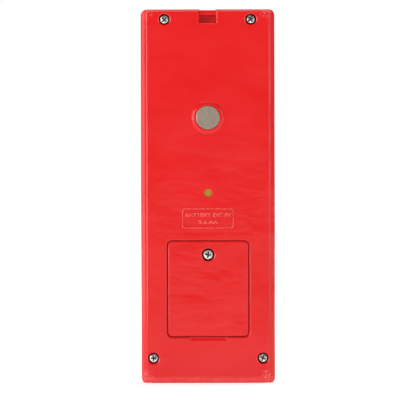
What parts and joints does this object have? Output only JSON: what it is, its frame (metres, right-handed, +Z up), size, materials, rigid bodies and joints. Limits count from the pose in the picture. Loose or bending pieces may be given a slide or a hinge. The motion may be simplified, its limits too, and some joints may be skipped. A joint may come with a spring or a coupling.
{
  "type": "digital metronome",
  "caption": "Slim upright red digital metronome: magnet in a raised ring, sound hole, screwed battery cover and strap slot on the back; display, tempo dial and keys on the front.",
  "frame": {"origin": "centre of the underside of the whole object's bounding box, so it stands on z = 0", "axes": "+Z up along the long side, +Y out of the back face with the magnet and battery cover, front with display and keys towards -Y"},
  "size_m": [0.0734, 0.0306, 0.205],
  "materials": {
    "black_epoxy": "cured epoxy blob",
    "black_insulation": "extruded insulation",
    "black_nylon": "nylon washer",
    "black_plastic": "moulded plastic",
    "black_print": "black ink behind the lens",
    "brass_disc": "thin rolled brass",
    "capacitor_sleeve": "printed sleeve",
    "cell_jacket": "printed foil jacket",
    "circuit_board": "green solder mask on glass epoxy",
    "clear_guide": "frosted acrylic",
    "clear_lens": "clear polished acrylic",
    "dark_key_plastic": "fine satin moulded plastic",
    "grey_plastic": "moulded plastic",
    "grey_rubber": "layered conductive elastomer",
    "lcd_glass": "reflective twisted-nematic display",
    "led_red": "small surface-mount lamp",
    "magnet_nickel": "satin nickel over a pressed magnet",
    "nickel_strip": "nickel-plated spring strip",
    "pale_key_plastic": "fine satin moulded plastic",
    "piezo_ceramic": "silvered piezo ceramic",
    "red_abs": "glossy moulded ABS, bright red",
    "red_insulation": "extruded insulation",
    "steel_can": "drawn can",
    "white_plastic": "white moulded plastic",
    "zinc_screw": "bright zinc plate"
  },
  "bodies": {
    "housing": {"battery_lead_black": "black_insulation", "battery_lead_red": "red_insulation", "beat_leds": "led_red", "board_screws": "zinc_screw", "buzzer_brass_disc": "brass_disc", "buzzer_ceramic": "piezo_ceramic", "buzzer_lead_black": "black_insulation", "buzzer_lead_red": "red_insulation", "capacitors": "capacitor_sleeve", "case_screws": "zinc_screw", "cell_left": "cell_jacket", "cell_right": "cell_jacket", "chip_resistors": "black_plastic", "contact_bridge": "nickel_strip", "contact_negative": "nickel_strip", "contact_positive": "nickel_strip", "contact_spring_lower": "nickel_strip", "contact_spring_upper": "nickel_strip", "controller_blob": "black_epoxy", "crystal_can": "steel_can", "display_lens": "clear_lens", "display_mask": "black_print", "encoder_body": "grey_plastic", "front_cover": "red_abs", "key_switch_bodies": "black_plastic", "lcd_frame": "white_plastic", "lcd_glass": "lcd_glass", "led_light_guides": "clear_guide", "magnet_disc": "magnet_nickel", "main_board": "circuit_board", "rear_cover": "red_abs", "slide_switch_body": "steel_can", "strap_bar": "red_abs", "zebra_strips": "grey_rubber"},
    "tempo_dial_body": {"tempo_dial": "dark_key_plastic", "encoder_shaft": "white_plastic"},
    "start_stop_key": {"start_stop_button": "pale_key_plastic", "start_stop_switch_stem": "black_plastic"},
    "beat_key": {"beat_button": "dark_key_plastic", "beat_switch_stem": "black_plastic"},
    "tap_key": {"tap_button": "dark_key_plastic", "tap_switch_stem": "black_plastic"},
    "tone_key": {"tone_button": "dark_key_plastic", "tone_switch_stem": "black_plastic"},
    "light_key": {"light_button": "dark_key_plastic", "light_switch_stem": "black_plastic"},
    "volume_slide": {"volume_slider": "dark_key_plastic", "volume_switch_lever": "black_plastic"},
    "battery_door": {"battery_cover": "red_abs"},
    "battery_door_screw": {"battery_cover_screw": "zinc_screw", "screw_retainer": "black_nylon"}
  },
  "joints": [
    {"name": "tempo_dial_turn", "type": "hinge", "parent": "housing", "child": "tempo_dial_body", "pos_m": [0, -0.0134, 0.105], "axis": [0, -1, 0], "continuous": true},
    {"name": "start_stop_press", "type": "slide", "parent": "housing", "child": "start_stop_key", "axis": [0, 1, 0], "range_m": [0, 0.0005], "stiffness_N_per_m": 400, "springref_m": -0.001},
    {"name": "beat_press", "type": "slide", "parent": "housing", "child": "beat_key", "axis": [0, 1, 0], "range_m": [0, 0.0005], "stiffness_N_per_m": 400, "springref_m": -0.001},
    {"name": "tap_press", "type": "slide", "parent": "housing", "child": "tap_key", "axis": [0, 1, 0], "range_m": [0, 0.0005], "stiffness_N_per_m": 400, "springref_m": -0.001},
    {"name": "tone_press", "type": "slide", "parent": "housing", "child": "tone_key", "axis": [0, 1, 0], "range_m": [0, 0.0005], "stiffness_N_per_m": 400, "springref_m": -0.001},
    {"name": "light_press", "type": "slide", "parent": "housing", "child": "light_key", "axis": [0, 1, 0], "range_m": [0, 0.0005], "stiffness_N_per_m": 400, "springref_m": -0.001},
    {"name": "volume_slide_travel", "type": "slide", "parent": "housing", "child": "volume_slide", "axis": [1, 0, 0], "range_m": [0, 0.006]},
    {"name": "battery_door_tilt", "type": "hinge", "parent": "housing", "child": "battery_door", "pos_m": [0, 0.0144, 0.0252], "axis": [-1, 0, 0], "range_deg": [0, 60]},
    {"name": "battery_door_screw_turn", "type": "hinge", "parent": "battery_door", "child": "battery_door_screw", "pos_m": [0, 0.0118, 0.0705], "axis": [0, 1, 0], "continuous": true}
  ]
}
